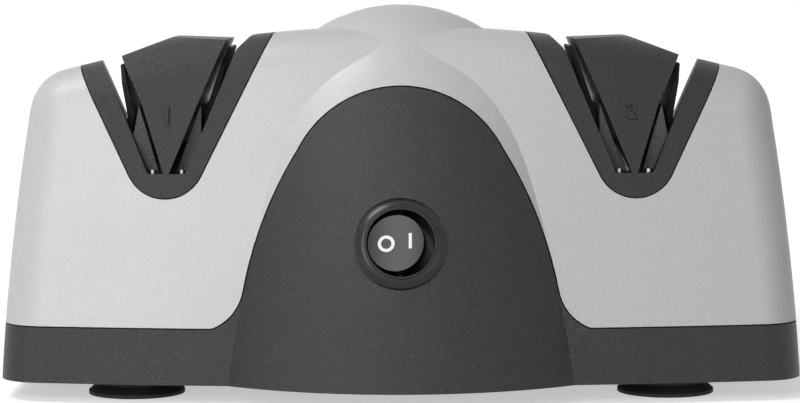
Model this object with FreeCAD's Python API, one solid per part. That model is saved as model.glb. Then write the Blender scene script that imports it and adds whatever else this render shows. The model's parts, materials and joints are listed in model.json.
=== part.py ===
"""Two-stage electric knife sharpener, in millimetres.

The frame has +X to the right, +Y to the back and +Z up. The origin is the middle of the
footprint, at the height of the table. A long low housing of two wings meets a domed centre
with a rocker switch. Each wing carries one stage: a moulded insert with two leaning knife
slots over a grinding wheel, and both wheels ride on the ends of one motor shaft.
"""
import FreeCAD
import Part
import math
import os

Vector = FreeCAD.Vector
X_AXIS = Vector(1, 0, 0)
Y_AXIS = Vector(0, 1, 0)
Z_AXIS = Vector(0, 0, 1)

# Housing: overall heights and the outline of the two wings
base_z = 5.0
crown_z = 100.7
wing_half_length = 103.3
wing_roof_z = 94.9
wing_roof_r = 360.0
wing_half_depth_middle = 41.0
wing_half_depth_end = 31.0
wing_front_lean = 12.5
wing_shoulder_r = 13.0
wing_end_lean = 1.9
wing_end_bow_r = 590.0
wing_end_round_r = 12.0

# Housing: the domed centre, as arcs fanned from the foot to the crown
centre_foot_y = 54.0
centre_foot_lean = 12.0
centre_foot_pull = 48.0
centre_crown_pull = 28.0
centre_foot_arc_r = 72.0
centre_crown_arc_r = 41.0
centre_foot_half_width = 50.0
centre_crown_half_width = 32.0
centre_core = 8.0
centre_steps = 6

# Mouldings: walls, seams and the arched shield
wall = 2.4
floor_t = 2.4
seam_z = 18.8
seam_gap = 0.35
arch_top_z = 80.0
arch_crown_r = 29.1
arch_shoulder_x = 25.9
arch_waist = (33.3, 50.0)
arch_hip = (39.8, 28.6)
arch_flare = (42.2, 23.0)
arch_foot_x = 48.0

# Stages: place of the two units and the slots of an insert
stage_end_gap = 43.0
stage_x = wing_half_length - stage_end_gap
insert_foot_z = 51.6
insert_foot_r = 10.2
insert_lean = 26.4
insert_lip = 2.6
insert_lip_t = 1.8
insert_lip_top_z = 77.0
slot_floor_z = 57.7
slot_lead_z = 89.5
slot_lead = 6.0
wedge_knee_z = 75.3
wedge_top_z = 87.0
wedge_rise = 2.5
wedge_apex_x = 1.0
wedge_skin = 2.2
flare_z = 71.5
flare_front_y = 20.0
flare_lean = 6.0

# Distances from a stage's middle: the wedge's face at the floor, the knee and the top,
# then the slot's outer wall at the floor and its lean
outer_wedge_x = (0.4, 6.1, 11.6)
inner_wedge_x = (1.0, 8.2, 13.3)
outer_slot_foot = 4.5
outer_slot_lean = 22.8
inner_slot_foot = 5.2
inner_slot_lean = 22.2

# Stages: guide blocks, sprung jaws and stop pins in each slot
block_foot_gap = 1.5
block_apex_gap = 0.9
block_apex_z = 75.0
block_back_z = 67.2
block_half_depth = 21.0
block_gap = 0.05
jaw_pivot_z = 69.0
jaw_sink = 1.1
jaw_eye_r = 1.3
jaw_back = 0.5
jaw_belly = 2.3
jaw_belly_height = 3.5
jaw_corner = 5.0
jaw_tip = 0.45
jaw_half_depth = 16.0
jaw_gap = 0.35
jaw_open_angle = 4.0
outer_jaw_top_z = 85.5
inner_jaw_top_z = 90.0
jaw_top_gap = 1.2
jaw_pin_r = 0.6
jaw_pin_hold = 3.0
jaw_pin_play = 0.05
stop_pin_r = 0.9
stop_pin_proud = 0.9
stop_pin_sink = 1.7
stop_pin_y = 22.5
stop_pin_wall_gap = 0.15

# Drive: shaft, wheels and what clamps them
axis_z = 41.0
shaft_r = 3.0
wheel_r = 24.0
wheel_t = 8.0
wheel_bevel = 1.6
wheel_gap = 0.7
flange_r = 10.0
flange_t = 2.5
nut_flats = 10.0
nut_t = 5.0
shaft_overhang = 1.2
shaft_half_length = stage_x + wheel_t / 2 + flange_t + nut_t + shaft_overhang
hub_play = 0.02

# Drive: the shaded-pole motor
stack_half_t = 10.0
stack_front_y = 18.0
stack_half_height = 20.0
rotor_r = 12.0
air_gap = 0.4
window_front_y = 16.5
leg_front_y = 24.5
leg_back_y = 31.0
window_half_height = 12.0
bobbin_gap = 0.2
bobbin_wall = 1.0
bobbin_flange_t = 1.2
bobbin_flange = 5.6
winding_build = 4.8
shading_ring_t = 2.0
bracket_x = 22.0
bracket_t = 2.0
bracket_half_depth = 19.0
bracket_foot_z = 14.0
bracket_foot_length = 9.0
bracket_bore_reach = 20.0
bush_r = 5.0
bush_length = 8.0
bush_play = 0.04
through_y = 14.0
through_z = 16.2
through_r = 1.5
standoff_r = 3.2
fan_x = 29.0
fan_hub_r = 5.5
fan_r = 15.0
fan_length = 7.0
fan_blades = 8
fan_blade_t = 1.2
motor_screw_y = 14.0

# Base: bosses, ribs, vents and the cord inlet
boss_r = 4.2
cover_screw_end_gap = 15.0
cover_screw_x = wing_half_length - cover_screw_end_gap
cover_screw_y = 9.0
cover_post_z = 14.0
screw_r = 1.5
screw_play = 0.05
screw_head_r = 2.9
screw_head_t = 2.0
screw_depth = 8.0
head_recess = 3.2
rib_stage_gap = 16.3
rib_x = stage_x - rib_stage_gap
rib_t = 2.0
rib_top_z = 34.0
rib_shaft_gap = 3.0
vent_count = 7
vent_pitch = 6.0
vent_width = 3.0
vent_length = 24.0
inlet_z = 12.6
inlet_r = 3.6
inlet_collar = 2.0
inlet_collar_length = 6.0
inlet_collar_sink = 0.3

# Feet: rubber suction cups
foot_end_gap = 34.3
foot_x = wing_half_length - foot_end_gap
foot_y = 16.0
foot_rim_r = 12.5
foot_neck_r = 10.4
foot_lip = 1.2
foot_cup_depth = 1.8
foot_stem_r = 2.6
foot_head_r = 3.6
foot_head_t = 1.6

# Switch: a round rocker on the leaning shield
switch_z = 41.5
bezel_r = 11.45
bezel_t = 1.9
bezel_rim_r = 8.6
bezel_rim_t = 0.4
bezel_rim_rise = 0.35
bezel_edge_t = 0.5
bezel_bulge = 0.15
bezel_sink = 1.0
barrel_r = 9.8
barrel_length = 14.0
barrel_floor = 2.0
rocker_r = 7.1
rocker_face = 2.9
rocker_dish = 0.7
rocker_depth = 3.6
rocker_tilt = 11.0
pivot_depth = 3.6
pivot_r = 0.8
pivot_hub_r = 2.4
pivot_play = 0.05
terminal_width = 4.8
terminal_t = 0.8
terminal_length = 7.0
terminal_x = 4.0
lead_r = 1.1
lead_gap = 0.3


def save(name, shape):
    """Write one piece, or one group of like pieces, under its node name."""
    if not shape.isValid():
        print("invalid", name)
    shape.exportStep(os.path.join("parts", name + ".step"))
    print(name, len(shape.Solids), round(shape.Volume, 1))


def rod(start, axis, radius, length):
    """Round bar from one end along an axis."""
    return Part.makeCylinder(radius, length, start, axis)


def tube(start, axis, outer, inner, length):
    """Round bar with a through bore."""
    return rod(start, axis, outer, length).cut(rod(start, axis, inner, length))


def box(x0, x1, y0, y1, z0, z1):
    """Box between two corners."""
    return Part.makeBox(x1 - x0, y1 - y0, z1 - z0, Vector(x0, y0, z0))


def mirrored(shape):
    """The same shape on the other side of the middle plane."""
    return shape.mirror(Vector(0, 0, 0), X_AXIS)


def polygon_prism(points, y0, y1):
    """Prism along Y of a closed outline of (x, z) points."""
    corners = [Vector(x, y0, z) for x, z in points]
    face = Part.Face(Part.makePolygon(corners + corners[:1]))
    return face.extrude(Vector(0, y1 - y0, 0))


def hex_prism(start, axis_x, flats, length):
    """Hexagonal bar along X."""
    radius = flats / 2 / math.cos(math.pi / 6)
    corners = []
    for i in range(6):
        a = math.pi / 3 * i
        corners.append(Vector(start.x, start.y + radius * math.cos(a), start.z + radius * math.sin(a)))
    face = Part.Face(Part.makePolygon(corners + corners[:1]))
    return face.extrude(Vector(axis_x * length, 0, 0))


# Outer form of the housing

def wing_roof(x):
    """Height of the wings' roof line at one place along X."""
    return wing_roof_z - wing_roof_r + math.sqrt(wing_roof_r ** 2 - x ** 2)


def wing_section(x, inset, rise):
    """Closed profile of the wings at one place along X, drawn in by the inset."""
    lean = math.radians(wing_front_lean)
    drop = wing_half_depth_middle - wing_half_depth_end
    bow_r = (wing_half_length ** 2 + drop ** 2) / (2 * drop)
    foot = wing_half_depth_middle - bow_r + math.sqrt(bow_r ** 2 - x ** 2)
    foot -= inset / math.cos(lean)
    top = wing_roof(x) + rise - inset
    radius = wing_shoulder_r - inset
    corner = foot - (top - base_z) * math.tan(lean)
    reach = radius * math.tan((math.pi / 2 - lean) / 2)
    middle = (lean + math.pi / 2) / 2
    front = [
        Vector(x, -foot, base_z),
        Vector(x, -corner - reach * math.sin(lean), top - reach * math.cos(lean)),
        Vector(x, reach - corner - radius * math.cos(middle), top - radius + radius * math.sin(middle)),
        Vector(x, reach - corner, top),
    ]
    back = [Vector(p.x, -p.y, p.z) for p in front]
    return Part.Wire([
        Part.LineSegment(front[0], front[1]).toShape(),
        Part.Arc(front[1], front[2], front[3]).toShape(),
        Part.LineSegment(front[3], back[3]).toShape(),
        Part.Arc(back[3], back[2], back[1]).toShape(),
        Part.LineSegment(back[1], back[0]).toShape(),
        Part.LineSegment(back[0], front[0]).toShape(),
    ])


def wing_loft(inset, rise):
    """Both wings before their ends are shaped."""
    reach = wing_half_length + wing_end_round_r
    sections = [wing_section(reach * share, inset, rise) for share in (-1, -0.5, 0, 0.5, 1)]
    return Part.makeLoft(sections, True, False)


def wing_ends(inset):
    """Front view of the two bowed, leaning ends, as a deep prism."""
    lean = math.radians(wing_end_lean)
    centre_x = wing_half_length - wing_end_bow_r * math.cos(lean)
    centre_z = base_z - wing_end_bow_r * math.sin(lean)
    radius = wing_end_bow_r - inset
    low = math.asin((base_z - centre_z) / radius)
    high = math.asin((crown_z - centre_z) / radius)
    depth = 2 * centre_foot_y
    right = []
    for angle in (low, (low + high) / 2, high):
        right.append(Vector(centre_x + radius * math.cos(angle), -depth, centre_z + radius * math.sin(angle)))
    left = [Vector(-p.x, p.y, p.z) for p in right]
    wire = Part.Wire([
        Part.Arc(right[0], right[1], right[2]).toShape(),
        Part.LineSegment(right[2], left[2]).toShape(),
        Part.Arc(left[2], left[1], left[0]).toShape(),
        Part.LineSegment(left[0], right[0]).toShape(),
    ])
    return Part.Face(wire).extrude(Vector(0, 2 * depth, 0))


def wing_form(inset):
    """Both wings as one solid, with rounded ends."""
    body = wing_loft(inset, 0).common(wing_ends(inset))
    edges = []
    for edge in body.Edges:
        middle = edge.CenterOfMass
        if abs(middle.x) > 0.8 * wing_half_length and middle.z > base_z + 1:
            if edge.BoundBox.XLength < wing_end_round_r:
                edges.append(edge)
    return body.makeFillet(wing_end_round_r - inset, edges)


def front_profile(share, inset):
    """Point on the centre's front-to-crown curve, from the foot (0) to the crown (1)."""
    lean = math.radians(centre_foot_lean)
    foot = Vector(0, inset - centre_foot_y, base_z)
    crown = Vector(0, 0, crown_z - inset)
    foot_pull = foot + Vector(0, math.sin(lean), math.cos(lean)) * centre_foot_pull
    crown_pull = crown - Y_AXIS * centre_crown_pull
    rest = 1 - share
    point = foot * rest ** 3 + foot_pull * (3 * rest * rest * share)
    return point + crown_pull * (3 * rest * share * share) + crown * share ** 3


def fan_section(point, inset):
    """Closed arc section of the centre, in the plane through the X axis and the point."""
    tilt = math.atan2(point.z - base_z, -point.y)
    reach = math.hypot(point.y, point.z - base_z)
    low = math.cos(tilt) ** 2
    half = centre_foot_half_width * low + centre_crown_half_width * (1 - low) - inset
    radius = centre_foot_arc_r * low + centre_crown_arc_r * (1 - low) - inset
    edge = reach - radius + math.sqrt(radius ** 2 - half ** 2)

    def at(x, distance):
        return Vector(x, -math.cos(tilt) * distance, base_z + math.sin(tilt) * distance)

    return Part.Wire([
        Part.Arc(at(-half, edge), at(0, reach), at(half, edge)).toShape(),
        Part.LineSegment(at(half, edge), at(half, centre_core)).toShape(),
        Part.LineSegment(at(half, centre_core), at(-half, centre_core)).toShape(),
        Part.LineSegment(at(-half, centre_core), at(-half, edge)).toShape(),
    ])


def centre_form(inset):
    """The domed centre, alike at the front and the back."""
    sections = []
    for i in range(centre_steps + 1):
        sections.append(fan_section(front_profile(i / centre_steps, inset), inset))
    front = Part.makeLoft(sections, True, False)
    back = front.mirror(Vector(0, 0, 0), Y_AXIS)
    half = centre_crown_half_width - inset
    core = box(-half, half, -centre_core, centre_core, base_z, base_z + centre_core)
    return front.fuse(back).fuse(core)


def housing_form(inset):
    """Outer form of the whole housing, drawn in by the inset."""
    return wing_form(inset).fuse(centre_form(inset))


# Regions of the front view

def arch_face(grow):
    """Outline of the shield on the front, with its flared feet, at y = 0."""
    drop = arch_crown_r - math.sqrt(arch_crown_r ** 2 - arch_shoulder_x ** 2)
    shoulder = (arch_shoulder_x, arch_top_z - drop)
    half_x = arch_shoulder_x / 2
    crown = (half_x, arch_top_z - arch_crown_r + math.sqrt(arch_crown_r ** 2 - half_x ** 2))
    foot = (arch_foot_x, seam_z)
    below = (arch_foot_x, seam_z - 4)

    def at(point, side):
        return Vector(side * point[0], 0, point[1])

    edges = [Part.Arc(at(shoulder, -1), Vector(0, 0, arch_top_z), at(shoulder, 1)).toShape()]
    for side in (-1, 1):
        edges.append(Part.Arc(at(shoulder, side), at(arch_waist, side), at(arch_hip, side)).toShape())
        edges.append(Part.Arc(at(arch_hip, side), at(arch_flare, side), at(foot, side)).toShape())
        edges.append(Part.LineSegment(at(foot, side), at(below, side)).toShape())
    edges.append(Part.LineSegment(at(below, -1), at(below, 1)).toShape())
    face = Part.Face(Part.Wire(Part.__sortEdges__(edges)))
    if grow > 0:
        face = face.makeOffset2D(grow)
    return face


def base_region(grow):
    """Space that belongs to the base: below the seam, and the shield at the front."""
    low = box(-2 * wing_half_length, 2 * wing_half_length, -2 * centre_foot_y, 2 * centre_foot_y,
              0, seam_z + grow)
    shield = arch_face(grow).extrude(Vector(0, -2 * centre_foot_y, 0))
    return low.fuse(shield)


def insert_face(grow):
    """U outline of one insert about its stage, at y = 0."""
    lean = math.radians(insert_lean)
    radius = insert_foot_r + grow
    centre_z = insert_foot_z + insert_foot_r
    touch = (radius * math.cos(lean), centre_z - radius * math.sin(lean))
    top_z = crown_z + 10
    top_x = touch[0] + (top_z - touch[1]) * math.tan(lean)
    arc = Part.Arc(Vector(-touch[0], 0, touch[1]), Vector(0, 0, centre_z - radius),
                   Vector(touch[0], 0, touch[1])).toShape()
    right = Part.LineSegment(Vector(touch[0], 0, touch[1]), Vector(top_x, 0, top_z)).toShape()
    top = Part.LineSegment(Vector(top_x, 0, top_z), Vector(-top_x, 0, top_z)).toShape()
    left = Part.LineSegment(Vector(-top_x, 0, top_z), Vector(-touch[0], 0, touch[1])).toShape()
    return Part.Face(Part.Wire([arc, right, top, left]))


def insert_region(grow):
    """Deep prism of one insert's outline at its stage."""
    depth = 2 * centre_foot_y
    prism = insert_face(grow).extrude(Vector(0, 2 * depth, 0))
    prism.translate(Vector(stage_x, -depth, 0))
    return prism


def wedge_half(hand, z):
    """Distance from the stage's middle to the wedge's face; hand is 1 on the outer side."""
    foot, knee, top = outer_wedge_x if hand > 0 else inner_wedge_x
    if z < wedge_knee_z:
        return foot + (z - slot_floor_z) * (knee - foot) / (wedge_knee_z - slot_floor_z)
    return knee + (z - wedge_knee_z) * (top - knee) / (wedge_top_z - wedge_knee_z)


def slot_half(hand, z):
    """Distance from the stage's middle to a slot's outer wall."""
    foot = outer_slot_foot if hand > 0 else inner_slot_foot
    lean = outer_slot_lean if hand > 0 else inner_slot_lean
    return foot + (z - slot_floor_z) * math.tan(math.radians(lean))


def both_slots():
    """Space over the slot floors, from the outer wall of one slot to that of the other."""
    top = crown_z + 10
    points = [
        (stage_x - slot_half(-1, slot_floor_z), slot_floor_z),
        (stage_x + slot_half(1, slot_floor_z), slot_floor_z),
        (stage_x + slot_half(1, top), top),
        (stage_x - slot_half(-1, slot_lead_z) - slot_lead, top),
        (stage_x - slot_half(-1, slot_lead_z) - slot_lead, slot_lead_z + slot_lead),
        (stage_x - slot_half(-1, slot_lead_z), slot_lead_z),
    ]
    return polygon_prism(points, -2 * centre_foot_y, 2 * centre_foot_y)


def slot_flare():
    """Opening of the outer slot's wall towards the back, above the jaw's hinge."""
    rise = crown_z + 10 - flare_z
    depth = 2 * centre_foot_y
    x = stage_x + slot_half(1, flare_z)
    corners = [
        Vector(x - 1, -flare_front_y, flare_z),
        Vector(x, -flare_front_y, flare_z),
        Vector(x + depth * math.tan(math.radians(flare_lean)), depth - flare_front_y, flare_z),
        Vector(x - 1, depth - flare_front_y, flare_z),
    ]
    face = Part.Face(Part.makePolygon(corners + corners[:1]))
    return face.extrude(Vector(rise * math.tan(math.radians(outer_slot_lean)), 0, rise))


def wedge_outline(drawn_in):
    """Front view of the wedge with its raised ridge, drawn in on all sides but its foot."""
    apex_x = stage_x - wedge_apex_x
    outer_z = wing_roof(stage_x + outer_wedge_x[2])
    inner_z = wing_roof(stage_x - inner_wedge_x[2])
    foot = slot_floor_z
    while wedge_half(1, foot) + wedge_half(-1, foot) < 2.2 * drawn_in:
        foot += 0.5
    return [
        (stage_x + wedge_half(1, foot) - drawn_in, foot),
        (stage_x + wedge_half(1, wedge_knee_z) - drawn_in, wedge_knee_z),
        (stage_x + wedge_half(1, outer_z) - drawn_in, outer_z - drawn_in),
        (apex_x, wing_roof(apex_x) + wedge_rise - drawn_in),
        (stage_x - wedge_half(-1, inner_z) + drawn_in, inner_z - drawn_in),
        (stage_x - wedge_half(-1, wedge_knee_z) + drawn_in, wedge_knee_z),
        (stage_x - wedge_half(-1, foot) + drawn_in, foot),
    ]


def wheel_space():
    """Clearance round one grinding wheel."""
    start = Vector(stage_x - wheel_t / 2 - wheel_gap, 0, axis_z)
    return rod(start, X_AXIS, wheel_r + wheel_gap, wheel_t + 2 * wheel_gap)


# The rocker switch, drawn on the panel: u to the right, v up the panel, w outwards

def switch_seat():
    """Place and lean of the switch on the shield."""
    low, high = 0.0, 1.0
    for _ in range(40):
        middle = (low + high) / 2
        if front_profile(middle, 0).z < switch_z:
            low = middle
        else:
            high = middle
    point = front_profile(low, 0)
    ahead = front_profile(low + 0.01, 0) - front_profile(low - 0.01, 0)
    lean = math.degrees(math.atan2(ahead.y, ahead.z))
    return point, lean


seat_point, seat_lean = switch_seat()
panel_normal = Vector(0, -math.cos(math.radians(seat_lean)), math.sin(math.radians(seat_lean)))
seat_origin = seat_point - panel_normal * bezel_sink


def on_panel(shape):
    """Move a shape from the panel's own frame to its place."""
    turned = shape.copy()
    turned.Placement = FreeCAD.Placement(
        seat_origin, FreeCAD.Rotation(X_AXIS, 90 - seat_lean)).multiply(turned.Placement)
    return turned


def switch_hole():
    """Bore for the barrel and the flat seat for the bezel."""
    origin = Vector(0, 0, 0)
    hole = rod(Vector(0, 0, -barrel_length), Z_AXIS, barrel_r + seam_gap / 2, 2 * barrel_length)
    seat = rod(origin, Z_AXIS, bezel_r + seam_gap, 2 * bezel_t + bezel_sink)
    return on_panel(hole.fuse(seat))


def switch_body():
    """Bezel and barrel, open at the front for the rocker."""
    rim_z = bezel_t + bezel_rim_rise
    foot_z = barrel_floor - barrel_length
    edge = Vector(bezel_r, 0, bezel_edge_t)
    shoulder = Vector(bezel_rim_r + 1.5 * bezel_rim_t, 0, bezel_t)
    bulge = (edge + shoulder) * 0.5 + Vector(bezel_bulge, 0, bezel_bulge)
    points = [
        shoulder,
        Vector(bezel_rim_r + bezel_rim_t, 0, rim_z),
        Vector(bezel_rim_r, 0, rim_z),
        Vector(bezel_rim_r, 0, foot_z),
        Vector(0, 0, foot_z),
        Vector(0, 0, -barrel_length),
        Vector(barrel_r, 0, -barrel_length),
        Vector(barrel_r, 0, 0),
        Vector(bezel_r, 0, 0),
        edge,
    ]
    edges = [Part.LineSegment(a, b).toShape() for a, b in zip(points, points[1:])]
    edges.append(Part.Arc(edge, bulge, shoulder).toShape())
    body = Part.Face(Part.Wire(edges)).revolve(Vector(0, 0, 0), Z_AXIS, 360)
    for hand in (-1, 1):
        start = Vector(0, hand * bezel_rim_r - hand * 0.1, -pivot_depth)
        body = body.cut(rod(start, Vector(0, hand, 0), pivot_r, 0.9))
    for hand in (-1, 1):
        x = hand * terminal_x
        body = body.cut(box(x - terminal_t / 2, x + terminal_t / 2, -terminal_width / 2,
                            terminal_width / 2, -barrel_length, barrel_floor - barrel_length))
    return on_panel(body)


def switch_rocker():
    """Round rocker cap with a dished face, resting with its left side pressed in."""
    top, low = rocker_face, rocker_face - rocker_depth
    left, right = Vector(-rocker_r, 0, top), Vector(rocker_r, 0, top)
    face = Part.Face(Part.Wire([
        Part.Arc(left, Vector(0, 0, top - rocker_dish), right).toShape(),
        Part.LineSegment(right, Vector(rocker_r, 0, low)).toShape(),
        Part.LineSegment(Vector(rocker_r, 0, low), Vector(-rocker_r, 0, low)).toShape(),
        Part.LineSegment(Vector(-rocker_r, 0, low), left).toShape(),
    ]))
    face.translate(Vector(0, -rocker_r, 0))
    cap = face.extrude(Vector(0, 2 * rocker_r, 0))
    start = Vector(0, -rocker_r, -pivot_depth)
    hub = rod(start, Y_AXIS, pivot_hub_r, 2 * rocker_r)
    web = box(-pivot_hub_r, pivot_hub_r, -rocker_r, rocker_r, -pivot_depth, 0)
    cap = cap.fuse([hub, web]).common(rod(Vector(0, 0, -barrel_length), Z_AXIS, rocker_r, 2 * barrel_length))
    cap = cap.cut(rod(start, Y_AXIS, pivot_r + pivot_play, 2 * rocker_r)).removeSplitter()
    cap.rotate(Vector(0, 0, -pivot_depth), Y_AXIS, -rocker_tilt)
    return on_panel(cap)


def switch_pivot():
    """Steel pin through the rocker's hub, held in the barrel's wall."""
    half = bezel_rim_r + 0.75
    return on_panel(rod(Vector(0, -half, -pivot_depth), Y_AXIS, pivot_r, 2 * half))


def switch_terminals():
    """Two spade terminals at the back of the barrel."""
    blades = []
    for hand in (-1, 1):
        x = hand * terminal_x
        blades.append(on_panel(box(
            x - terminal_t / 2, x + terminal_t / 2, -terminal_width / 2, terminal_width / 2,
            -barrel_length - terminal_length, barrel_floor - barrel_length)))
    return Part.makeCompound(blades)


# Housing mouldings

def screw(head_face, axis, length):
    """Pan-head screw: the head lies before the given face and the shank after it."""
    head = rod(head_face - axis * screw_head_t, axis, screw_head_r, screw_head_t)
    head = head.makeChamfer(screw_head_t * 0.35, [max(head.Edges, key=lambda e: (
        -(e.CenterOfMass - head_face).dot(axis), e.Length))])
    slot_start = head_face - axis * screw_head_t
    cross_axis = X_AXIS if abs(axis.x) < 0.5 else Y_AXIS
    other_axis = axis.cross(cross_axis)
    recess = screw_head_t * 0.45
    arm, half = screw_head_r * 0.55, 0.35
    for along, across in ((cross_axis, other_axis), (other_axis, cross_axis)):
        corner = slot_start - along * arm - across * half
        corners = [corner, corner + along * 2 * arm, corner + along * 2 * arm + across * 2 * half,
                   corner + across * 2 * half]
        face = Part.Face(Part.makePolygon(corners + corners[:1]))
        head = head.cut(face.extrude(axis * recess))
    return head.fuse(rod(head_face, axis, screw_r, length)).removeSplitter()


def cover_screw_places():
    """Centres of the four screws that hold the cover, in plan."""
    return [(sx * cover_screw_x, sy * cover_screw_y) for sx in (-1, 1) for sy in (-1, 1)]


def motor_screw_places():
    """Centres of the four motor screws, in plan."""
    x = bracket_x + bracket_t + (bracket_foot_length - bracket_t) / 2
    return [(sx * x, sy * motor_screw_y) for sx in (-1, 1) for sy in (-1, 1)]


def foot_places():
    """Centres of the four feet, in plan."""
    return [(sx * foot_x, sy * foot_y) for sy in (-1, 1) for sx in (-1, 1)]


def base_housing(outer, shell, inner_fit):
    """Black base: band, floor and the shield, with bosses, ribs, vents and the cord inlet."""
    body = shell.common(base_region(0))
    floor_top = base_z + floor_t
    floor = outer.common(box(-2 * wing_half_length, 2 * wing_half_length, -2 * centre_foot_y,
                             2 * centre_foot_y, 0, floor_top))
    body = body.fuse(floor)
    ribs = []
    for side in (-1, 1):
        x = side * rib_x
        rib = box(x - rib_t / 2, x + rib_t / 2, -centre_foot_y, centre_foot_y, floor_top - 0.5, rib_top_z)
        notch = rod(Vector(x - rib_t, 0, axis_z), X_AXIS, shaft_r + rib_shaft_gap + rib_t, 2 * rib_t)
        ribs.append(rib.common(inner_fit).cut(notch))
    solids = list(ribs)
    for x, y in cover_screw_places():
        solids.append(rod(Vector(x, y, base_z + 0.5), Z_AXIS, boss_r, cover_post_z - base_z - 0.5))
    for x, y in motor_screw_places():
        solids.append(rod(Vector(x, y, base_z + 0.5), Z_AXIS, boss_r, bracket_foot_z - base_z - 0.5))
    backing = rod(Vector(0, 0, -wall - 1.2), Z_AXIS, bezel_r + 1.6, wall + 1.2)
    solids.append(on_panel(backing).common(outer))
    inlet_end = centre_foot_y - inlet_collar_sink
    start = Vector(0, inlet_end - inlet_collar_length, inlet_z)
    solids.append(rod(start, Y_AXIS, inlet_r + inlet_collar, inlet_collar_length))
    body = body.fuse(solids)
    cuts = [switch_hole()]
    for x, y in cover_screw_places():
        cuts.append(rod(Vector(x, y, 0), Z_AXIS, screw_r + screw_play, crown_z / 2))
        cuts.append(rod(Vector(x, y, 0), Z_AXIS, screw_head_r + 0.4, base_z + head_recess))
    for x, y in motor_screw_places():
        start = Vector(x, y, bracket_foot_z - screw_depth)
        cuts.append(rod(start, Z_AXIS, screw_r + screw_play, screw_depth))
    for x, y in foot_places():
        cuts.append(rod(Vector(x, y, 0), Z_AXIS, foot_stem_r + screw_play, floor_top + 1))
    first = -(vent_count - 1) / 2 * vent_pitch
    for i in range(vent_count):
        x = first + i * vent_pitch
        cuts.append(box(x - vent_width / 2, x + vent_width / 2, -vent_length / 2, vent_length / 2,
                        0, floor_top + 1))
    cuts.append(rod(Vector(0, 0, inlet_z), Y_AXIS, inlet_r, 2 * centre_foot_y))
    return body.cut(cuts)


def top_cover(shell, outer):
    """Silver cover over both wings and the dome, with the arch and the openings for the inserts."""
    body = shell.cut(base_region(seam_gap))
    posts = []
    for x, y in cover_screw_places():
        posts.append(rod(Vector(x, y, cover_post_z), Z_AXIS, boss_r, crown_z).common(outer))
    body = body.fuse(posts)
    cuts = [insert_region(seam_gap), mirrored(insert_region(seam_gap))]
    for x, y in cover_screw_places():
        cuts.append(rod(Vector(x, y, cover_post_z - 1), Z_AXIS, screw_r + screw_play, screw_depth + 1))
    return body.cut(cuts)


def guide_insert(outer, inner_fit, drawn_in):
    """Moulding of the right stage: U frame, floor and hollow wedge, with a lip behind the cover."""
    reach = 2 * centre_foot_y
    lip = inner_fit.common(insert_region(insert_lip)).cut(insert_region(-0.5)).cut(drawn_in)
    lip = lip.common(box(0, 2 * wing_half_length, -reach, reach, 0, insert_lip_top_z))
    frame = outer.common(insert_region(0)).fuse(lip).cut([both_slots(), slot_flare()])
    wedge = wing_loft(0, wedge_rise).common(polygon_prism(wedge_outline(0), -reach, reach))
    hollow = polygon_prism(wedge_outline(wedge_skin), -jaw_half_depth, jaw_half_depth)
    cuts = [hollow.common(drawn_in), wheel_space()]
    for hand in (-1, 1):
        pivot = jaw_pivot(hand)
        half = jaw_half_depth + jaw_gap
        cuts.append(rod(pivot - Y_AXIS * half, Y_AXIS, jaw_eye_r + jaw_gap, 2 * half))
        for angle in (0, jaw_open_angle / 2, jaw_open_angle):
            room = jaw_blade(hand, jaw_gap)
            room.rotate(pivot, Y_AXIS, hand * angle)
            cuts.append(room)
        half = jaw_half_depth + jaw_pin_hold
        cuts.append(rod(pivot - Y_AXIS * half, Y_AXIS, jaw_pin_r, 2 * half))
        for depth in (-1, 1):
            cuts.append(rod(stop_pin_foot(hand, depth), Z_AXIS, stop_pin_r, stop_pin_sink + 0.1))
    return frame.fuse(wedge).cut(cuts)


# Pieces in the slots of the right stage; those of the left stage are mirrored

def jaw_pivot(hand):
    """Centre of a jaw's hinge pin, just behind the slot's outer wall."""
    x = stage_x + hand * (slot_half(hand, jaw_pivot_z) + jaw_sink)
    return Vector(x, 0, jaw_pivot_z)


def jaw_blade(hand, grow):
    """Tapered plate of a jaw, from its belly beside the hinge to its thin tip."""
    pivot = jaw_pivot(hand)
    top_z = outer_jaw_top_z if hand > 0 else inner_jaw_top_z
    tip = Vector(stage_x + hand * (wedge_half(hand, top_z) + jaw_top_gap), 0, top_z - jaw_tip)
    span = tip - pivot
    offset = jaw_back + jaw_tip
    lean = math.atan2(hand * span.x, span.z) + math.asin(offset / span.Length)
    along = Vector(hand * math.sin(lean), 0, math.cos(lean))
    inward = Vector(-hand * math.cos(lean), 0, math.sin(lean))
    reach = math.sqrt(span.Length ** 2 - offset ** 2)

    def at(distance, across):
        return pivot + along * distance + inward * across

    foot_back = at(0, jaw_back)
    tip_back, crest = at(reach, jaw_back), at(reach + jaw_tip, offset)
    tip_front = at(reach, offset + jaw_tip)
    belly, foot_front = at(jaw_belly_height, jaw_belly), at(0, jaw_eye_r)
    face = Part.Face(Part.Wire([
        Part.LineSegment(foot_back, tip_back).toShape(),
        Part.Arc(tip_back, crest, tip_front).toShape(),
        Part.LineSegment(tip_front, belly).toShape(),
        Part.LineSegment(belly, foot_front).toShape(),
        Part.LineSegment(foot_front, foot_back).toShape(),
    ]))
    if grow > 0:
        face = face.makeOffset2D(grow)
    half = jaw_half_depth + grow
    face.translate(Vector(0, -half, 0))
    return face.extrude(Vector(0, 2 * half, 0))


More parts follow.
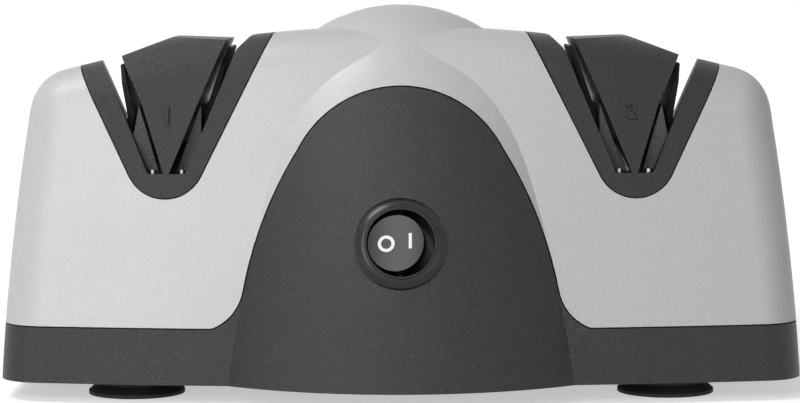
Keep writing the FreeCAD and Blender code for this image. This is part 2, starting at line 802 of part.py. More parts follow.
def spring_jaw(hand):
    """Jaw that holds a knife against the wedge, with its hinge eye and cut top corners."""
    pivot = jaw_pivot(hand)
    half = jaw_half_depth
    start = pivot - Y_AXIS * half
    jaw = jaw_blade(hand, 0).fuse(rod(start, Y_AXIS, jaw_eye_r, 2 * half))
    top_z = outer_jaw_top_z if hand > 0 else inner_jaw_top_z
    low_z = jaw_pivot_z - 2 * jaw_eye_r
    side_view = [(-half, low_z), (half, low_z), (half, top_z - jaw_corner), (half - jaw_corner, top_z),
                 (jaw_corner - half, top_z), (-half, top_z - jaw_corner)]
    corners = [Vector(0, y, z) for y, z in side_view]
    trim = Part.Face(Part.makePolygon(corners + corners[:1])).extrude(X_AXIS * wing_half_length)
    return jaw.common(trim).cut(rod(start, Y_AXIS, jaw_pin_r + jaw_pin_play, 2 * half))


def jaw_pins():
    """Four steel hinge pins, held in the inserts."""
    half = jaw_half_depth + jaw_pin_hold
    pins = [rod(jaw_pivot(hand) - Y_AXIS * half, Y_AXIS, jaw_pin_r, 2 * half) for hand in (-1, 1)]
    return Part.makeCompound(pins + [mirrored(pin) for pin in pins])


def guide_block(hand):
    """Grey block on the outer wall of a slot, with its apex close to the wedge."""
    foot = slot_floor_z + block_gap
    distances = [
        (wedge_half(hand, foot) + block_foot_gap, foot),
        (slot_half(hand, foot) - block_gap, foot),
        (slot_half(hand, block_back_z) - block_gap, block_back_z),
        (wedge_half(hand, block_apex_z) + block_apex_gap, block_apex_z),
    ]
    points = [(stage_x + hand * distance, z) for distance, z in distances]
    return polygon_prism(points, -block_half_depth, block_half_depth).cut(wheel_space())


def stop_pin_foot(hand, depth):
    """Lower end of one stop pin, in the floor of a slot."""
    x = stage_x + hand * (slot_half(hand, slot_floor_z) - stop_pin_r - stop_pin_wall_gap)
    return Vector(x, depth * stop_pin_y, slot_floor_z - stop_pin_sink)


def stop_pins():
    """Eight steel pins that stop the edge at the ends of the slot floors."""
    pins = []
    for hand in (-1, 1):
        for depth in (-1, 1):
            pins.append(rod(stop_pin_foot(hand, depth), Z_AXIS, stop_pin_r, stop_pin_sink + stop_pin_proud))
    return Part.makeCompound(pins + [mirrored(pin) for pin in pins])


# Feet

def suction_foot(x, y):
    """Rubber cup with a stem and a head that snaps through the floor."""
    stem_top = base_z + floor_t
    points = [
        Vector(0, 0, foot_cup_depth),
        Vector(foot_rim_r - foot_lip, 0, 0),
        Vector(foot_rim_r, 0, 0),
        Vector(foot_rim_r, 0, 0.9),
        Vector(foot_neck_r, 0, base_z * 0.55),
        Vector(foot_neck_r, 0, base_z),
        Vector(foot_stem_r, 0, base_z),
        Vector(foot_stem_r, 0, stem_top),
        Vector(foot_head_r, 0, stem_top),
        Vector(foot_stem_r, 0, stem_top + foot_head_t),
        Vector(0, 0, stem_top + foot_head_t),
    ]
    wire = Part.makePolygon(points + points[:1])
    foot = Part.Face(wire).revolve(Vector(0, 0, 0), Z_AXIS, 360)
    foot.translate(Vector(x, y, 0))
    return foot


# Drive

def grinding_wheel(side):
    """Abrasive wheel with bevelled rim corners."""
    start = Vector(side * stage_x - wheel_t / 2, 0, axis_z)
    wheel = rod(start, X_AXIS, wheel_r, wheel_t)
    rims = [e for e in wheel.Edges if e.Length > 2 * wheel_r and len(e.Vertexes) == 1]
    wheel = wheel.makeChamfer(wheel_bevel, rims)
    return wheel.cut(rod(start, X_AXIS, shaft_r + hub_play, wheel_t))


def wheel_flange(side, hand):
    """Clamping disc on one face of a wheel; hand is 1 on the outer face."""
    face = side * stage_x + side * hand * wheel_t / 2
    start = Vector(face, 0, axis_z)
    out = Vector(side * hand, 0, 0)
    disc = rod(start, out, flange_r, flange_t)
    relief = rod(start, out, flange_r * 0.7, flange_t * 0.2)
    return disc.cut(relief).cut(rod(start, out, shaft_r + hub_play, flange_t))


def wheel_nut(side):
    """Hexagon nut outside the outer flange."""
    start = Vector(side * (stage_x + wheel_t / 2 + flange_t), 0, axis_z)
    nut = hex_prism(start, side, nut_flats, nut_t)
    return nut.cut(rod(start, Vector(side, 0, 0), shaft_r + hub_play, nut_t))


def drive_shaft():
    """One shaft from wheel to wheel, with chamfered ends."""
    shaft = rod(Vector(-shaft_half_length, 0, axis_z), X_AXIS, shaft_r, 2 * shaft_half_length)
    ends = [e for e in shaft.Edges if len(e.Vertexes) == 1 and e.Length > shaft_r]
    return shaft.makeChamfer(0.5, ends)


def rotor_core():
    """Laminated rotor with end rings."""
    core = rod(Vector(-stack_half_t, 0, axis_z), X_AXIS, rotor_r, 2 * stack_half_t)
    ring_t = 1.6
    for hand in (-1, 1):
        start = Vector(hand * stack_half_t, 0, axis_z)
        ring = tube(start, Vector(hand, 0, 0), rotor_r - 1, rotor_r - 4, ring_t)
        core = core.fuse(ring)
    return core.cut(rod(Vector(-2 * stack_half_t, 0, axis_z), X_AXIS, shaft_r + hub_play, 4 * stack_half_t))


def cooling_fan():
    """Hub with straight radial blades on a back disc."""
    start = Vector(fan_x, 0, axis_z)
    hub = rod(start, X_AXIS, fan_hub_r, fan_length)
    disc = rod(start, X_AXIS, fan_r, 1.0)
    blades = []
    for i in range(fan_blades):
        blade = box(fan_x, fan_x + fan_length, -fan_blade_t / 2, fan_blade_t / 2, axis_z, axis_z + fan_r)
        blade.rotate(start, X_AXIS, 360 / fan_blades * i)
        blades.append(blade)
    fan = hub.fuse([disc] + blades)
    return fan.cut(rod(start, X_AXIS, shaft_r + hub_play, fan_length)).removeSplitter()


def through_places():
    """Centres of the two motor through screws, as (y, z)."""
    return [(-through_y, axis_z + through_z), (through_y, axis_z - through_z)]


def stator_stack():
    """Laminated C-frame with the rotor bore, the window and the leg for the coil."""
    low, high = axis_z - stack_half_height, axis_z + stack_half_height
    stack = box(-stack_half_t, stack_half_t, -stack_front_y, leg_back_y, low, high)
    window = box(-stack_half_t, stack_half_t, window_front_y, leg_front_y,
                 axis_z - window_half_height, axis_z + window_half_height)
    start = Vector(-stack_half_t, 0, axis_z)
    cuts = [window, rod(start, X_AXIS, rotor_r + air_gap, 2 * stack_half_t)]
    for y, z in through_places():
        cuts.append(rod(Vector(-stack_half_t, y, z), X_AXIS, through_r, 2 * stack_half_t))
    for hand in (-1, 1):
        cuts.append(shading_slot(hand, 0))
    return stack.cut(cuts)


def shading_slot(hand, play):
    """Slot in a pole face for its copper ring, above or below the rotor."""
    y = hand * rotor_r * 0.55
    reach = rotor_r + air_gap + 4
    low = axis_z + hand * rotor_r * 0.55
    high = axis_z + hand * reach
    return box(-stack_half_t - play, stack_half_t + play, y - shading_ring_t / 2, y + shading_ring_t / 2,
               min(low, high), max(low, high))


def shading_rings():
    """Two copper bars set in the pole faces, clear of the rotor."""
    rings = []
    room = rod(Vector(-2 * stack_half_t, 0, axis_z), X_AXIS, rotor_r + 2 * air_gap, 4 * stack_half_t)
    for hand in (-1, 1):
        rings.append(shading_slot(hand, 1.2).cut(room))
    return Part.makeCompound(rings)


def coil_box(grow, low, high):
    """Rounded block round the stack's leg."""
    block = box(-stack_half_t - grow, stack_half_t + grow, leg_front_y - grow, leg_back_y + grow, low, high)
    edges = [e for e in block.Edges if abs(e.tangentAt(e.FirstParameter).z) > 0.9]
    return block.makeFillet(grow * 0.6, edges)


def stator_bobbin():
    """Moulded bobbin with a flange at each end."""
    low = axis_z - window_half_height + bobbin_gap
    high = axis_z + window_half_height - bobbin_gap
    inner = bobbin_gap
    core = coil_box(inner + bobbin_wall, low, high)
    body = core.fuse([
        coil_box(inner + bobbin_flange, low, low + bobbin_flange_t),
        coil_box(inner + bobbin_flange, high - bobbin_flange_t, high),
    ])
    return body.cut(box(-stack_half_t - inner, stack_half_t + inner, leg_front_y - inner,
                        leg_back_y + inner, low, high))


def stator_winding():
    """Taped coil between the flanges."""
    low = axis_z - window_half_height + bobbin_gap + bobbin_flange_t
    high = axis_z + window_half_height - bobbin_gap - bobbin_flange_t
    outer = coil_box(bobbin_gap + winding_build, low, high)
    return outer.cut(coil_box(bobbin_gap + bobbin_wall, low, high))


def bearing_bracket(side):
    """Bracket with a bearing hub, two standoffs to the stack and a foot on the base bosses."""
    x = side * bracket_x
    out = Vector(side, 0, 0)
    low, high = bracket_foot_z, axis_z + stack_half_height
    x_out = x + side * bracket_t
    plate = box(min(x, x_out), max(x, x_out), -bracket_half_depth, bracket_half_depth, low, high)
    windows = []
    for hand in (-1, 1):
        y = hand * (bush_r + 5.5)
        windows.append(box(min(x, x_out) - 1, max(x, x_out) + 1, min(y, hand * (bracket_half_depth - 4)),
                           max(y, hand * (bracket_half_depth - 4)), axis_z - 9, axis_z + 9))
    plate = plate.cut(windows)
    foot_end = x + side * bracket_foot_length
    foot = box(min(x, foot_end), max(x, foot_end), -bracket_half_depth, bracket_half_depth,
               low, low + bracket_t)
    solids = [foot, rod(Vector(x - side * 2, 0, axis_z), out, bush_r + 2.2, bush_length - 2)]
    for y, z in through_places():
        length = bracket_x - stack_half_t
        solids.append(rod(Vector(side * stack_half_t, y, z), out, standoff_r, length))
    body = plate.fuse(solids)
    cuts = [rod(Vector(x - side * 6, 0, axis_z), out, bush_r, bracket_bore_reach)]
    for y, z in through_places():
        cuts.append(rod(Vector(side * stack_half_t, y, z), out, through_r, bracket_bore_reach))
    for sx, sy in motor_screw_places():
        cuts.append(rod(Vector(sx, sy, low), Z_AXIS, screw_r + screw_play, bracket_t + 1))
    return body.cut(cuts)


def bearing_bush(side):
    """Sintered bush pressed into a bracket."""
    start = Vector(side * (bracket_x - 3), 0, axis_z)
    return tube(start, Vector(side, 0, 0), bush_r, shaft_r + bush_play, bush_length)


def through_screws():
    """Two long screws that clamp both brackets to the stack."""
    screws = []
    for y, z in through_places():
        start = Vector(-bracket_x - bracket_t, y, z)
        length = 2 * (bracket_x + bracket_t)
        head = rod(start - X_AXIS * 2, X_AXIS, 2.8, 2)
        nut = hex_prism(Vector(bracket_x + bracket_t, y, z), 1, 5.5, 2.4)
        screws.append(head.fuse([rod(start, X_AXIS, through_r, length + 3.4), nut]))
    return Part.makeCompound(screws)


def lead_tube(points, radius):
    """Round lead along straight runs joined by tangent arcs."""
    edges = []
    at = points[0]
    for i in range(1, len(points) - 1):
        into = points[i] - points[i - 1]
        away = points[i + 1] - points[i]
        turn = into.getAngle(away)
        trim = 0.45 * min(into.Length, away.Length)
        first = points[i] - Vector(into).normalize() * trim
        last = points[i] + Vector(away).normalize() * trim
        bend = trim / math.tan(turn / 2)
        inward = (Vector(away).normalize() - Vector(into).normalize()).normalize()
        middle = points[i] + inward * (bend / math.cos(turn / 2) - bend)
        edges.append(Part.LineSegment(at, first).toShape())
        edges.append(Part.Arc(first, middle, last).toShape())
        at = last
    edges.append(Part.LineSegment(at, points[-1]).toShape())
    path = Part.Wire(edges)
    start = points[0]
    ring = Part.Wire(Part.makeCircle(radius, start, points[1] - points[0]))
    return path.makePipeShell([ring], True, False), path.Length


def switch_lead():
    """Lead from a switch terminal, under the stack, to the coil."""
    blade = on_panel(Part.Vertex(Vector(terminal_x, 0, -barrel_length - terminal_length)))
    tip = blade.Point
    bobbin_low = axis_z - window_half_height + bobbin_gap
    coil = Vector(stack_half_t + 3, leg_back_y - 3, bobbin_low - lead_gap)
    under = axis_z - stack_half_height - 3 * lead_r
    points = [
        tip,
        tip - panel_normal * 3,
        Vector(tip.x + 0.6, tip.y + 1, under + 2),
        Vector(tip.x + 2, -stack_front_y + 8, under - 2),
        Vector(tip.x + 4, 4, under - 1.5),
        Vector(stack_half_t + 2, leg_front_y - 6, under - 2),
        Vector(coil.x + 0.5, coil.y - 1, under + 2),
        coil,
    ]
    lead, length = lead_tube(points, lead_r)
    print("lead", round(lead.Volume, 1), round(math.pi * lead_r ** 2 * length, 1))
    return lead


def main():
    os.makedirs("parts", exist_ok=True)
    outer = housing_form(0)
    inner_fit = housing_form(wall + seam_gap)
    shell = outer.cut(housing_form(wall))
    save("base_housing", base_housing(outer, shell, inner_fit))
    save("top_cover", top_cover(shell, outer))
    insert = guide_insert(outer, inner_fit, housing_form(wall + seam_gap + insert_lip_t))
    save("guide_insert_1", mirrored(insert))
    save("guide_insert_2", insert)
    for hand, place in ((-1, "inner"), (1, "outer")):
        for kind, shape in (("spring_jaw", spring_jaw(hand)), ("guide_block", guide_block(hand))):
            save(kind + "_1_" + place, mirrored(shape))
            save(kind + "_2_" + place, shape)
    names = {-1: "1", 1: "2"}
    save("jaw_pins", jaw_pins())
    save("stop_pins", stop_pins())
    save("coarse_wheel", grinding_wheel(-1))
    save("fine_wheel", grinding_wheel(1))
    for side in (-1, 1):
        save("wheel_flange_" + names[side] + "_inner", wheel_flange(side, -1))
        save("wheel_flange_" + names[side] + "_outer", wheel_flange(side, 1))
        save("wheel_nut_" + names[side], wheel_nut(side))
    save("drive_shaft", drive_shaft())
    save("rotor_core", rotor_core())
    save("cooling_fan", cooling_fan())
    save("stator_stack", stator_stack())
    save("shading_rings", shading_rings())
    save("stator_bobbin", stator_bobbin())
    save("stator_winding", stator_winding())
    for side, name in ((-1, "left"), (1, "right")):
        save("bearing_bracket_" + name, bearing_bracket(side))
        save("bearing_bush_" + name, bearing_bush(side))
    save("through_screws", through_screws())
    save("switch_body", switch_body())
    save("switch_rocker", switch_rocker())
    save("switch_pivot", switch_pivot())
    save("switch_terminals", switch_terminals())
    save("switch_lead", switch_lead())
    corner_names = ("front_left", "front_right", "rear_left", "rear_right")
    for name, place in zip(corner_names, foot_places()):
        save("suction_foot_" + name, suction_foot(*place))
    cover_screws = []
    for x, y in cover_screw_places():
        length = cover_post_z + screw_depth - 1 - base_z - head_recess
        cover_screws.append(screw(Vector(x, y, base_z + head_recess), Z_AXIS, length))
    save("cover_screws", Part.makeCompound(cover_screws))
    motor_screws = []
    for x, y in motor_screw_places():
        start = Vector(x, y, bracket_foot_z + bracket_t)
        motor_screws.append(screw(start, Vector(0, 0, -1), bracket_t + screw_depth - 1))
    save("motor_screws", Part.makeCompound(motor_screws))


main()
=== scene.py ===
import bmesh
import bpy
import json
import math
from mathutils import Matrix, Vector


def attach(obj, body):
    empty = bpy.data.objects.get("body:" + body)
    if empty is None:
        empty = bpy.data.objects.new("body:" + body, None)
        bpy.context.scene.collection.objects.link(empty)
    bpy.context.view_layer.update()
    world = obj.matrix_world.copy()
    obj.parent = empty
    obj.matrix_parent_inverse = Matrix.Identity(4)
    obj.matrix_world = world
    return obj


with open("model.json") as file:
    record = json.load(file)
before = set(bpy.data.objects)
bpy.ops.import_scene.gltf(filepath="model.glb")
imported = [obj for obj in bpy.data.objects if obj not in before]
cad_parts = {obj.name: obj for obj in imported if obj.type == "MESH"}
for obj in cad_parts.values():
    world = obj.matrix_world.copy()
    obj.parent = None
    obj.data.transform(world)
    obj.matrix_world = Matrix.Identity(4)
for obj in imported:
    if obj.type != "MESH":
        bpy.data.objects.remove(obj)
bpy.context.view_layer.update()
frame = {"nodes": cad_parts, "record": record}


# The sharpener stands on a pale table and is seen straight from the front, a little
# above it, from about 0.7 m away, as in a catalogue picture.
camera_place = (0, -0.680, 0.105)
camera_look_down = 4.76
camera_roll = 0.16


def studio_camera():
    camera_data = bpy.data.cameras.new("camera")
    camera_data.lens = 115.38
    camera_data.sensor_width = 36.0
    camera = bpy.data.objects.new("camera", camera_data)
    camera.location = camera_place
    camera.rotation_euler = (math.radians(90 - camera_look_down), math.radians(camera_roll), 0)
    bpy.context.scene.collection.objects.link(camera)
    bpy.context.scene.camera = camera


def shader(name):
    """A new material with its node tree and its surface shader."""
    material = bpy.data.materials.new(name)
    material.use_nodes = True
    tree = material.node_tree
    return material, tree, tree.nodes["Principled BSDF"]


def seen_by_eye(tree):
    """1 for a ray that shows the background: straight, in a reflection or through glass."""
    path = tree.nodes.new("ShaderNodeLightPath")
    seen = path.outputs["Is Camera Ray"]
    for kind in ("Is Glossy Ray", "Is Transmission Ray"):
        either = tree.nodes.new("ShaderNodeMath")
        either.operation = "MAXIMUM"
        tree.links.new(seen, either.inputs[0])
        tree.links.new(path.outputs[kind], either.inputs[1])
        seen = either.outputs[0]
    return seen


# The table glows a little towards the camera, more so away from the sharpener, so that it
# reads as white paper and only the soft shadow under the base stays grey.
table_side = 6.0
glow_starts, glow_full = 0.12, 0.5
glow_near, glow_far = 0.5, 1.0


def pale_table():
    bpy.ops.mesh.primitive_plane_add(size=table_side, location=(0, 0, 0))
    table = bpy.context.object
    table.name = "table"
    material, tree, surface = shader("pale_table_top")
    surface.inputs["Base Color"].default_value = (0.8, 0.8, 0.8, 1)
    surface.inputs["Roughness"].default_value = 0.9
    surface.inputs["Specular IOR Level"].default_value = 0.1
    surface.inputs["Emission Color"].default_value = (1, 1, 1, 1)
    place = tree.nodes.new("ShaderNodeTexCoord")
    away = tree.nodes.new("ShaderNodeVectorMath")
    away.operation = "LENGTH"
    tree.links.new(place.outputs["Object"], away.inputs[0])
    glow = tree.nodes.new("ShaderNodeMapRange")
    glow.inputs["From Min"].default_value = glow_starts
    glow.inputs["From Max"].default_value = glow_full
    glow.inputs["To Min"].default_value = glow_near
    glow.inputs["To Max"].default_value = glow_far
    tree.links.new(away.outputs["Value"], glow.inputs["Value"])
    only_seen = tree.nodes.new("ShaderNodeMath")
    only_seen.operation = "MULTIPLY"
    tree.links.new(glow.outputs["Result"], only_seen.inputs[0])
    tree.links.new(seen_by_eye(tree), only_seen.inputs[1])
    tree.links.new(only_seen.outputs[0], surface.inputs["Emission Strength"])
    table.data.materials.append(material)


# Three square softboxes aim at the middle of the sharpener. The world lights it faintly and
# shows white behind it.
lamp_target = (0, 0, 0.05)
world_light = 0.1


def studio_lamp(name, place, side, power):
    lamp_data = bpy.data.lights.new(name, "AREA")
    lamp_data.shape = "RECTANGLE"
    lamp_data.size, lamp_data.size_y = side, side
    lamp_data.energy = power
    lamp = bpy.data.objects.new(name, lamp_data)
    lamp.location = place
    aim = Vector(lamp_target) - Vector(place)
    lamp.rotation_euler = aim.to_track_quat("-Z", "Y").to_euler()
    bpy.context.scene.collection.objects.link(lamp)


def studio_world():
    world = bpy.data.worlds.new("studio")
    world.use_nodes = True
    tree = world.node_tree
    background = tree.nodes["Background"]
    mix = tree.nodes.new("ShaderNodeMix")
    mix.data_type = "RGBA"
    mix.inputs["A"].default_value = (world_light, world_light, world_light, 1)
    mix.inputs["B"].default_value = (1, 1, 1, 1)
    tree.links.new(seen_by_eye(tree), mix.inputs["Factor"])
    tree.links.new(mix.outputs["Result"], background.inputs["Color"])
    bpy.context.scene.world = world
    bpy.context.scene.view_settings.view_transform = "Standard"


studio_camera()
pale_table()
studio_lamp("key_left", (-0.5, -1.05, 0.5), side=0.7, power=8.2)
studio_lamp("fill_right", (0.7, -1.0, 0.2), side=0.6, power=1.0)
studio_lamp("top_left", (-0.5, -0.17, 1.0), side=0.4, power=5)
studio_world()


# The cover is an injection-moulded ABS shell over both wings and the dome. It is sprayed
# with a fine metallic silver and lacquered to a soft sheen.
def noise(tree, scale, detail=2.0, roughness=0.5):
    """A noise texture in the object's own coordinates."""
    place = tree.nodes.new("ShaderNodeTexCoord")
    texture = tree.nodes.new("ShaderNodeTexNoise")
    texture.inputs["Scale"].default_value = scale
    texture.inputs["Detail"].default_value = detail
    texture.inputs["Roughness"].default_value = roughness
    tree.links.new(place.outputs["Object"], texture.inputs["Vector"])
    return texture.outputs["Fac"]


def ramp(tree, value, stops):
    """A colour ramp; each stop is (position, colour)."""
    node = tree.nodes.new("ShaderNodeValToRGB")
    while len(node.color_ramp.elements) < len(stops):
        node.color_ramp.elements.new(0.5)
    for element, (position, colour) in zip(node.color_ramp.elements, stops):
        element.position = position
        element.color = (*colour, 1)
    tree.links.new(value, node.inputs["Fac"])
    return node.outputs["Color"]


def grey(level):
    return (level, level, level)


def mottle(tree, surface, socket, value, dark, light, low=0.3, high=0.7):
    """Vary a socket of the surface from one grey to another by a texture."""
    greys = ramp(tree, value, [(low, grey(dark)), (high, grey(light))])
    tree.links.new(greys, surface.inputs[socket])


def bump(tree, surface, height, distance, strength):
    """Raise the surface by a texture."""
    node = tree.nodes.new("ShaderNodeBump")
    node.inputs["Distance"].default_value = distance
    node.inputs["Strength"].default_value = strength
    tree.links.new(height, node.inputs["Height"])
    tree.links.new(node.outputs["Normal"], surface.inputs["Normal"])


def silver_paint():
    material, tree, surface = shader("silver_paint")
    flake = noise(tree, 3600, 1.0)
    mottle(tree, surface, "Base Color", flake, 0.49, 0.60)
    surface.inputs["Metallic"].default_value = 0.06
    surface.inputs["Specular IOR Level"].default_value = 0.25
    cloud = noise(tree, 30, 3.0)
    mottle(tree, surface, "Roughness", cloud, 0.40, 0.46)
    surface.inputs["Coat Weight"].default_value = 0.05
    surface.inputs["Coat Roughness"].default_value = 0.35
    bump(tree, surface, flake, 0.00003, 0.12)
    return material


def dress(name, material):
    """Give a carried-over piece its finish."""
    node = frame["nodes"][name]
    node.data.materials.clear()
    node.data.materials.append(material)


dress("top_cover", silver_paint())


# Base, shield and inserts are moulded in black ABS from spark-eroded tools, so the skin has
# a fine even stipple that catches the light in points.
def stippled_plastic(name, dark, light, roughness):
    material, tree, surface = shader(name)
    grain = noise(tree, 2900, 2.0)
    middle = (dark + light) / 2
    colour = ramp(tree, grain, [(0.35, grey(dark)), (0.62, grey(middle)), (0.72, grey(light))])
    tree.links.new(colour, surface.inputs["Base Color"])
    patch = noise(tree, 45, 3.0)
    mottle(tree, surface, "Roughness", patch, roughness - 0.05, roughness + 0.05)
    surface.inputs["Specular IOR Level"].default_value = 0.4
    bump(tree, surface, grain, 0.0003, 0.9)
    return material


black_abs = stippled_plastic("black_abs", 0.001, 0.04, 0.38)
dress("base_housing", black_abs)
insert_abs = stippled_plastic("insert_abs", 0.001, 0.022, 0.42)
for insert in ("guide_insert_1", "guide_insert_2"):
    dress(insert, insert_abs)


# The stage numbers stand up from the wedges in the same black, as part of the moulding. Each
# leans back with the front wall and turns with its bow.
figure_height = 0.0044
figure_raise = 0.05
figure_bevel = 0.03
front_lean = 12.5
front_turn = 6.4


def stage_number(figure, place, turn):
    curve = bpy.data.curves.new("figure_" + figure, "FONT")
    curve.body = figure
    curve.extrude = figure_raise
    curve.bevel_depth = figure_bevel
    drawn = bpy.data.objects.new("figure_" + figure, curve)
    bpy.context.scene.collection.objects.link(drawn)
    bpy.context.view_layer.update()
    mesh = bpy.data.meshes.new_from_object(drawn)
    bpy.data.objects.remove(drawn)
    shape = bmesh.new()
    shape.from_mesh(mesh)
    bmesh.ops.remove_doubles(shape, verts=shape.verts, dist=0.0005)
    low = Vector([min(v.co[i] for v in shape.verts) for i in range(3)])
    high = Vector([max(v.co[i] for v in shape.verts) for i in range(3)])
    size = figure_height / (high.y - low.y)
    steps = (Matrix.Translation(place), Matrix.Rotation(math.radians(turn), 4, "Z"),
             Matrix.Rotation(math.radians(90 - front_lean), 4, "X"), Matrix.Scale(size, 4),
             Matrix.Translation(-(low + high) / 2))
    for step in reversed(steps):
        bmesh.ops.transform(shape, matrix=step, verts=shape.verts)
    bmesh.ops.recalc_face_normals(shape, faces=shape.faces)
    shape.to_mesh(mesh)
    shape.free()
    piece = bpy.data.objects.new("stage_number_" + figure, mesh)
    bpy.context.scene.collection.objects.link(piece)
    mesh.materials.clear()
    mesh.materials.append(insert_abs)
    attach(piece, "housing")


stage_number("1", (-0.0598, -0.02275, 0.0725), -front_turn)
stage_number("2", (0.0595, -0.02250, 0.0736), front_turn)


# Grey acetal blocks line the outer wall of each slot and steer the blade; their skin is a
# coarse stipple. The sprung jaws above them are smooth black nylon.
def smooth_nylon():
    material, tree, surface = shader("smooth_nylon")
    streak = noise(tree, 320, 3.0)
    mottle(tree, surface, "Base Color", streak, 0.003, 0.006)
    surface.inputs["Roughness"].default_value = 0.5
    surface.inputs["Specular IOR Level"].default_value = 0.15
    bump(tree, surface, streak, 0.00003, 0.3)
    return material


acetal = stippled_plastic("grey_acetal", 0.03, 0.13, 0.5)
nylon = smooth_nylon()
for name in frame["nodes"]:
    if name.startswith("guide_block"):
        dress(name, acetal)
    if name.startswith("spring_jaw"):
        dress(name, nylon)


# The feet are moulded rubber suction cups, soft and dull, with a trace of dust.
def dull_rubber():
    material, tree, surface = shader("dull_rubber")
    dust = noise(tree, 160, 4.0, 0.6)
    mottle(tree, surface, "Base Color", dust, 0.008, 0.022, low=0.4, high=0.75)
    surface.inputs["Roughness"].default_value = 0.7
    bump(tree, surface, dust, 0.00005, 0.3)
    return material


rubber = dull_rubber()
for name in frame["nodes"]:
    if name.startswith("suction_foot"):
        dress(name, rubber)


# The switch is a snap-in round rocker, its bezel and cap moulded in glossy black nylon.
# A white ring and bar are printed on the cap for off and on.
def glossy_nylon(name, level, roughness):
    material, tree, surface = shader(name)
    haze = noise(tree, 500, 2.0)
    mottle(tree, surface, "Base Color", haze, level * 0.8, level * 1.2)
    surface.inputs["Roughness"].default_value = roughness
    surface.inputs["Specular IOR Level"].default_value = 0.35
    bump(tree, surface, haze, 0.00002, 0.2)
    return material


dress("switch_body", glossy_nylon("bezel_nylon", 0.012, 0.28))
dress("switch_rocker", glossy_nylon("rocker_nylon", 0.007, 0.34))
# The pivot is a steel pin, but it is coloured near black as painted shade so that the gap
# between the cap and its bore reads dark.
dress("switch_pivot", glossy_nylon("pivot_painted_shade", 0.01, 0.5))


def mark_white():
    material, tree, surface = shader("mark_white")
    wear = noise(tree, 1500, 3.0)
    mottle(tree, surface, "Base Color", wear, 0.78, 0.86, high=0.6)
    surface.inputs["Roughness"].default_value = 0.45
    return material


def rocker_mark(name, shape, across, up_by):
    """Lay a flat mark on the dished face of the tilted rocker and give it a skin of paint."""
    bmesh.ops.translate(shape, verts=shape.verts, vec=(across, up_by, 0))
    for corner in shape.verts:
        corner.co.z = face_height + dish_r - math.sqrt(dish_r ** 2 - corner.co.x ** 2) + paint
    skin = bmesh.ops.extrude_face_region(shape, geom=shape.faces[:])
    lifted = [part for part in skin["geom"] if isinstance(part, bmesh.types.BMVert)]
    bmesh.ops.translate(shape, verts=lifted, vec=(0, 0, paint))
    for step in (Matrix.Translation((0, 0, pivot_below)),
                 Matrix.Rotation(math.radians(-rest_tilt), 4, "Y"),
                 Matrix.Rotation(math.pi / 2 - lean_back, 4, "X"), Matrix.Translation(pivot)):
        bmesh.ops.transform(shape, matrix=step, verts=shape.verts)
    bmesh.ops.recalc_face_normals(shape, faces=shape.faces)
    mesh = bpy.data.meshes.new(name)
    shape.to_mesh(mesh)
    shape.free()
    piece = bpy.data.objects.new(name, mesh)
    bpy.context.scene.collection.objects.link(piece)
    mesh.materials.append(white)
    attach(piece, "rocker")


hinge = next(j for j in frame["record"]["behaviour"]["joints"] if j["name"] == "rocker_tilt")
pivot = Vector(hinge["pos_m"])
lean_back = math.atan2(hinge["axis"][1], hinge["axis"][2])
pivot_below = 0.0036
rest_tilt = 11
face_height = 0.0022
dish_r = 0.03636
paint = 0.00004
ring_outer_r, ring_inner_r = 0.0021, 0.0013
bar_width, bar_height = 0.0008, 0.0039
white = mark_white()

ring = bmesh.new()
loops = []
for radius in (ring_outer_r, ring_inner_r):
    made = bmesh.ops.create_circle(ring, cap_ends=False, segments=64, radius=radius)
    loops += list({edge for corner in made["verts"] for edge in corner.link_edges})
bmesh.ops.bridge_loops(ring, edges=loops)
rocker_mark("off_ring", ring, -0.0025, -0.0001)
bar = bmesh.new()
bmesh.ops.create_grid(bar, x_segments=2, y_segments=6, size=0.5)
bmesh.ops.scale(bar, verts=bar.verts, vec=(bar_width, bar_height, 1))
rocker_mark("on_bar", bar, 0.0036, 0.0004)


# Inside are the two grinding wheels on their shaft and the motor that drives it. The pins at
# the slot floors are turned steel, and so are the screws, flanges and nuts.
def machined_steel():
    material, tree, surface = shader("machined_steel")
    turning = noise(tree, 900, 3.0)
    mottle(tree, surface, "Base Color", turning, 0.45, 0.62)
    surface.inputs["Metallic"].default_value = 1.0
    surface.inputs["Roughness"].default_value = 0.3
    bump(tree, surface, turning, 0.00003, 0.3)
    return material


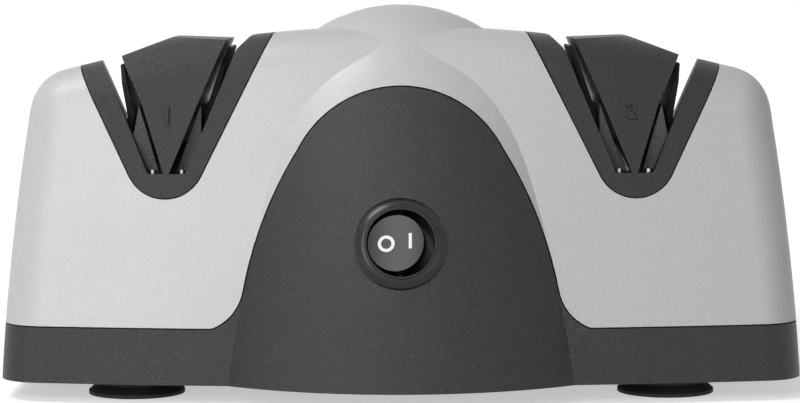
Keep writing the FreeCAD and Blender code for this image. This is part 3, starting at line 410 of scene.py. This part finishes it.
def sintered_abrasive(name, low, high, scale):
    material, tree, surface = shader(name)
    grit = noise(tree, scale, 6.0, 0.7)
    colours = ramp(tree, grit, [(0.3, low), (0.7, high)])
    tree.links.new(colours, surface.inputs["Base Color"])
    surface.inputs["Roughness"].default_value = 0.9
    bump(tree, surface, grit, 0.0003, 0.8)
    return material


def tinted(name, colour, metallic, roughness, scale):
    """A plain-looking stock finish with a fine mottle."""
    material, tree, surface = shader(name)
    speckle = noise(tree, scale, 3.0)
    darker = tuple(c * 0.8 for c in colour)
    colours = ramp(tree, speckle, [(0.3, darker), (0.7, colour)])
    tree.links.new(colours, surface.inputs["Base Color"])
    surface.inputs["Metallic"].default_value = metallic
    surface.inputs["Roughness"].default_value = roughness
    bump(tree, surface, speckle, 0.00004, 0.3)
    return material


steel = machined_steel()
bronze = tinted("sintered_bronze", (0.55, 0.38, 0.2), 1.0, 0.5, 1200)
zinc = tinted("die_cast_zinc", (0.5, 0.5, 0.52), 1.0, 0.5, 700)
copper = tinted("enamelled_copper", (0.6, 0.22, 0.1), 0.9, 0.35, 1500)
sheet_steel = tinted("stacked_sheet", (0.3, 0.3, 0.32), 1.0, 0.45, 1500)
natural_nylon = tinted("natural_nylon", (0.7, 0.68, 0.6), 0.0, 0.5, 600)
finishes = {
    "coarse_wheel": sintered_abrasive("coarse_abrasive", (0.10, 0.07, 0.05),
                                      (0.26, 0.19, 0.14), 1400),
    "fine_wheel": sintered_abrasive("fine_abrasive", (0.42, 0.40, 0.37),
                                    (0.66, 0.64, 0.60), 2600),
    "stator_stack": sheet_steel, "rotor_core": sheet_steel, "shading_rings": copper,
    "stator_winding": copper, "stator_bobbin": natural_nylon, "cooling_fan": natural_nylon,
    "bearing_bracket_left": zinc, "bearing_bracket_right": zinc,
    "bearing_bush_left": bronze, "bearing_bush_right": bronze,
    "switch_terminals": tinted("bright_brass", (0.75, 0.55, 0.25), 1.0, 0.35, 900),
    "switch_lead": tinted("lead_jacket", (0.03, 0.03, 0.03), 0.0, 0.5, 500),
}
for name, material in finishes.items():
    dress(name, material)
for name in ("jaw_pins", "stop_pins", "drive_shaft", "through_screws",
             "cover_screws", "motor_screws"):
    dress(name, steel)
for name in frame["nodes"]:
    if name.startswith("wheel_"):
        dress(name, steel)
